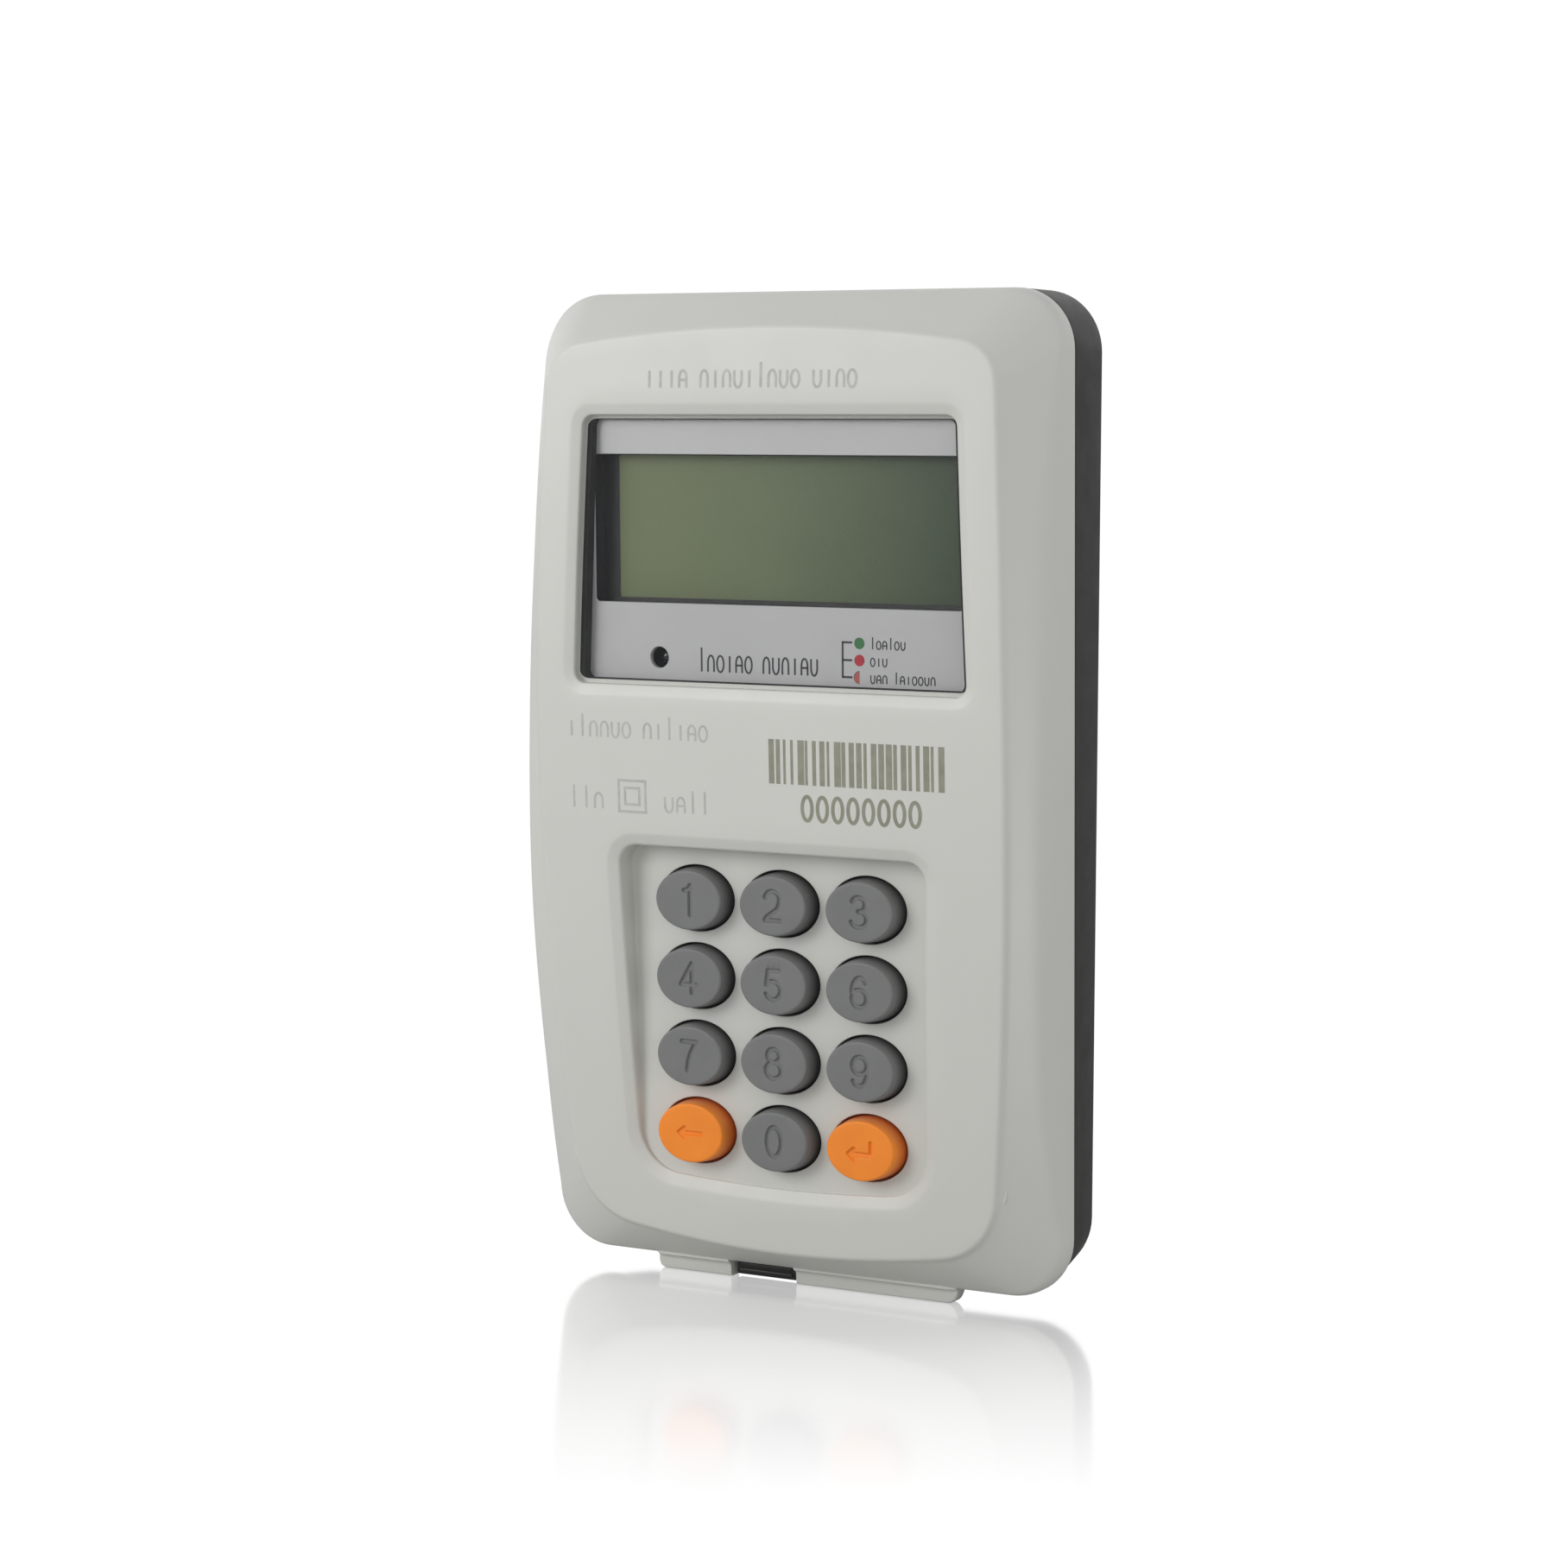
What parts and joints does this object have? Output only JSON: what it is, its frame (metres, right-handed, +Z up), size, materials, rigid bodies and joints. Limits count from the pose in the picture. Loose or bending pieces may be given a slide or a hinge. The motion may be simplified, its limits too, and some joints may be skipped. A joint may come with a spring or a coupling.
{
  "type": "prepaid electricity meter keypad unit",
  "caption": "Wall-mounted keypad and display unit of a split prepaid electricity meter: charcoal rear shell, off-white front with window, recessed oval keys and a release latch.",
  "frame": {"origin": "centre of the flat back face, which lies on the wall, half way up the case without its lower flange", "axes": "+Z up, +Y into the wall, +X to the right of a person who faces the keys"},
  "size_m": [0.0882, 0.0237, 0.15],
  "materials": {
    "dark_shell": "fine moulded texture, charcoal",
    "light_shell": "fine moulded texture, warm off-white",
    "clear_lens": "clear polycarbonate",
    "silver_print": "silver screen print",
    "black_plastic": "satin black",
    "black_rubber": "matt black",
    "display_glass": "display glass",
    "lcd_film": "polarising film",
    "light_guide": "translucent light guide",
    "led_body": "clear epoxy",
    "circuit_board": "green solder mask",
    "steel_parts": "zinc-plated steel",
    "brass_parts": "plated brass",
    "ferrite": "ferrite core",
    "winding_tape": "yellow winding tape",
    "capacitor_box": "potted yellow box",
    "varistor_blue": "blue epoxy",
    "ceramic": "ceramic tube",
    "capacitor_sleeve": "shrink sleeve",
    "terminal_green": "moulded terminal housing",
    "grey_rubber": "silicone rubber, mid grey",
    "orange_rubber": "silicone rubber, orange",
    "carbon": "conductive carbon pill"
  },
  "bodies": {
    "wall_base": {"rear_shell": "dark_shell", "terminal_block": "terminal_green", "terminal_clamps": "brass_parts", "terminal_screws": "steel_parts", "dock_socket": "black_plastic", "cable_clamp": "black_plastic", "clamp_screws": "steel_parts", "latch_spring": "steel_parts"},
    "release_latch": {"release_latch": "dark_shell"},
    "front_unit": {"front_shell": "light_shell", "window_lens": "clear_lens", "lens_gasket": "black_rubber", "display_fascia": "silver_print", "lcd_holder": "black_plastic", "lcd_polarisers": "lcd_film", "lcd_front_glass": "display_glass", "lcd_rear_glass": "display_glass", "backlight": "light_guide", "zebra_strip": "black_rubber", "status_led": "led_body", "led_spacer": "black_plastic", "main_pcb": "circuit_board", "pcb_screws": "steel_parts", "microcontroller": "black_plastic", "modem_chip": "black_plastic", "crystal": "steel_parts", "coupling_transformer": "ferrite", "supply_transformer": "winding_tape", "filter_capacitor": "capacitor_box", "varistor": "varistor_blue", "fuse": "ceramic", "smoothing_capacitors": "capacitor_sleeve", "rectifier": "black_plastic", "buzzer": "black_plastic", "dock_pins": "brass_parts", "keypad_mat": "grey_rubber"},
    "key_1": {"key_1": "grey_rubber", "pill_1": "carbon"},
    "key_2": {"key_2": "grey_rubber", "pill_2": "carbon"},
    "key_3": {"key_3": "grey_rubber", "pill_3": "carbon"},
    "key_4": {"key_4": "grey_rubber", "pill_4": "carbon"},
    "key_5": {"key_5": "grey_rubber", "pill_5": "carbon"},
    "key_6": {"key_6": "grey_rubber", "pill_6": "carbon"},
    "key_7": {"key_7": "grey_rubber", "pill_7": "carbon"},
    "key_8": {"key_8": "grey_rubber", "pill_8": "carbon"},
    "key_9": {"key_9": "grey_rubber", "pill_9": "carbon"},
    "key_back": {"key_back": "orange_rubber", "pill_back": "carbon"},
    "key_0": {"key_0": "grey_rubber", "pill_0": "carbon"},
    "key_enter": {"key_enter": "orange_rubber", "pill_enter": "carbon"}
  },
  "joints": [
    {"name": "case_open", "type": "hinge", "parent": "wall_base", "child": "front_unit", "pos_m": [0, -0.0095, 0.0738], "axis": [-1, 0, 0], "range_deg": [0, 25]},
    {"name": "latch_slide", "type": "slide", "parent": "wall_base", "child": "release_latch", "axis": [0, 0, 1], "range_m": [0, 0.0012], "stiffness_N_per_m": 400, "deforming": ["latch_spring"]},
    {"name": "key_1_press", "type": "slide", "parent": "front_unit", "child": "key_1", "axis": [0, 1, 0], "range_m": [0, 0.001], "stiffness_N_per_m": 300},
    {"name": "key_2_press", "type": "slide", "parent": "front_unit", "child": "key_2", "axis": [0, 1, 0], "range_m": [0, 0.001], "stiffness_N_per_m": 300},
    {"name": "key_3_press", "type": "slide", "parent": "front_unit", "child": "key_3", "axis": [0, 1, 0], "range_m": [0, 0.001], "stiffness_N_per_m": 300},
    {"name": "key_4_press", "type": "slide", "parent": "front_unit", "child": "key_4", "axis": [0, 1, 0], "range_m": [0, 0.001], "stiffness_N_per_m": 300},
    {"name": "key_5_press", "type": "slide", "parent": "front_unit", "child": "key_5", "axis": [0, 1, 0], "range_m": [0, 0.001], "stiffness_N_per_m": 300},
    {"name": "key_6_press", "type": "slide", "parent": "front_unit", "child": "key_6", "axis": [0, 1, 0], "range_m": [0, 0.001], "stiffness_N_per_m": 300},
    {"name": "key_7_press", "type": "slide", "parent": "front_unit", "child": "key_7", "axis": [0, 1, 0], "range_m": [0, 0.001], "stiffness_N_per_m": 300},
    {"name": "key_8_press", "type": "slide", "parent": "front_unit", "child": "key_8", "axis": [0, 1, 0], "range_m": [0, 0.001], "stiffness_N_per_m": 300},
    {"name": "key_9_press", "type": "slide", "parent": "front_unit", "child": "key_9", "axis": [0, 1, 0], "range_m": [0, 0.001], "stiffness_N_per_m": 300},
    {"name": "key_back_press", "type": "slide", "parent": "front_unit", "child": "key_back", "axis": [0, 1, 0], "range_m": [0, 0.001], "stiffness_N_per_m": 300},
    {"name": "key_0_press", "type": "slide", "parent": "front_unit", "child": "key_0", "axis": [0, 1, 0], "range_m": [0, 0.001], "stiffness_N_per_m": 300},
    {"name": "key_enter_press", "type": "slide", "parent": "front_unit", "child": "key_enter", "axis": [0, 1, 0], "range_m": [0, 0.001], "stiffness_N_per_m": 300}
  ]
}
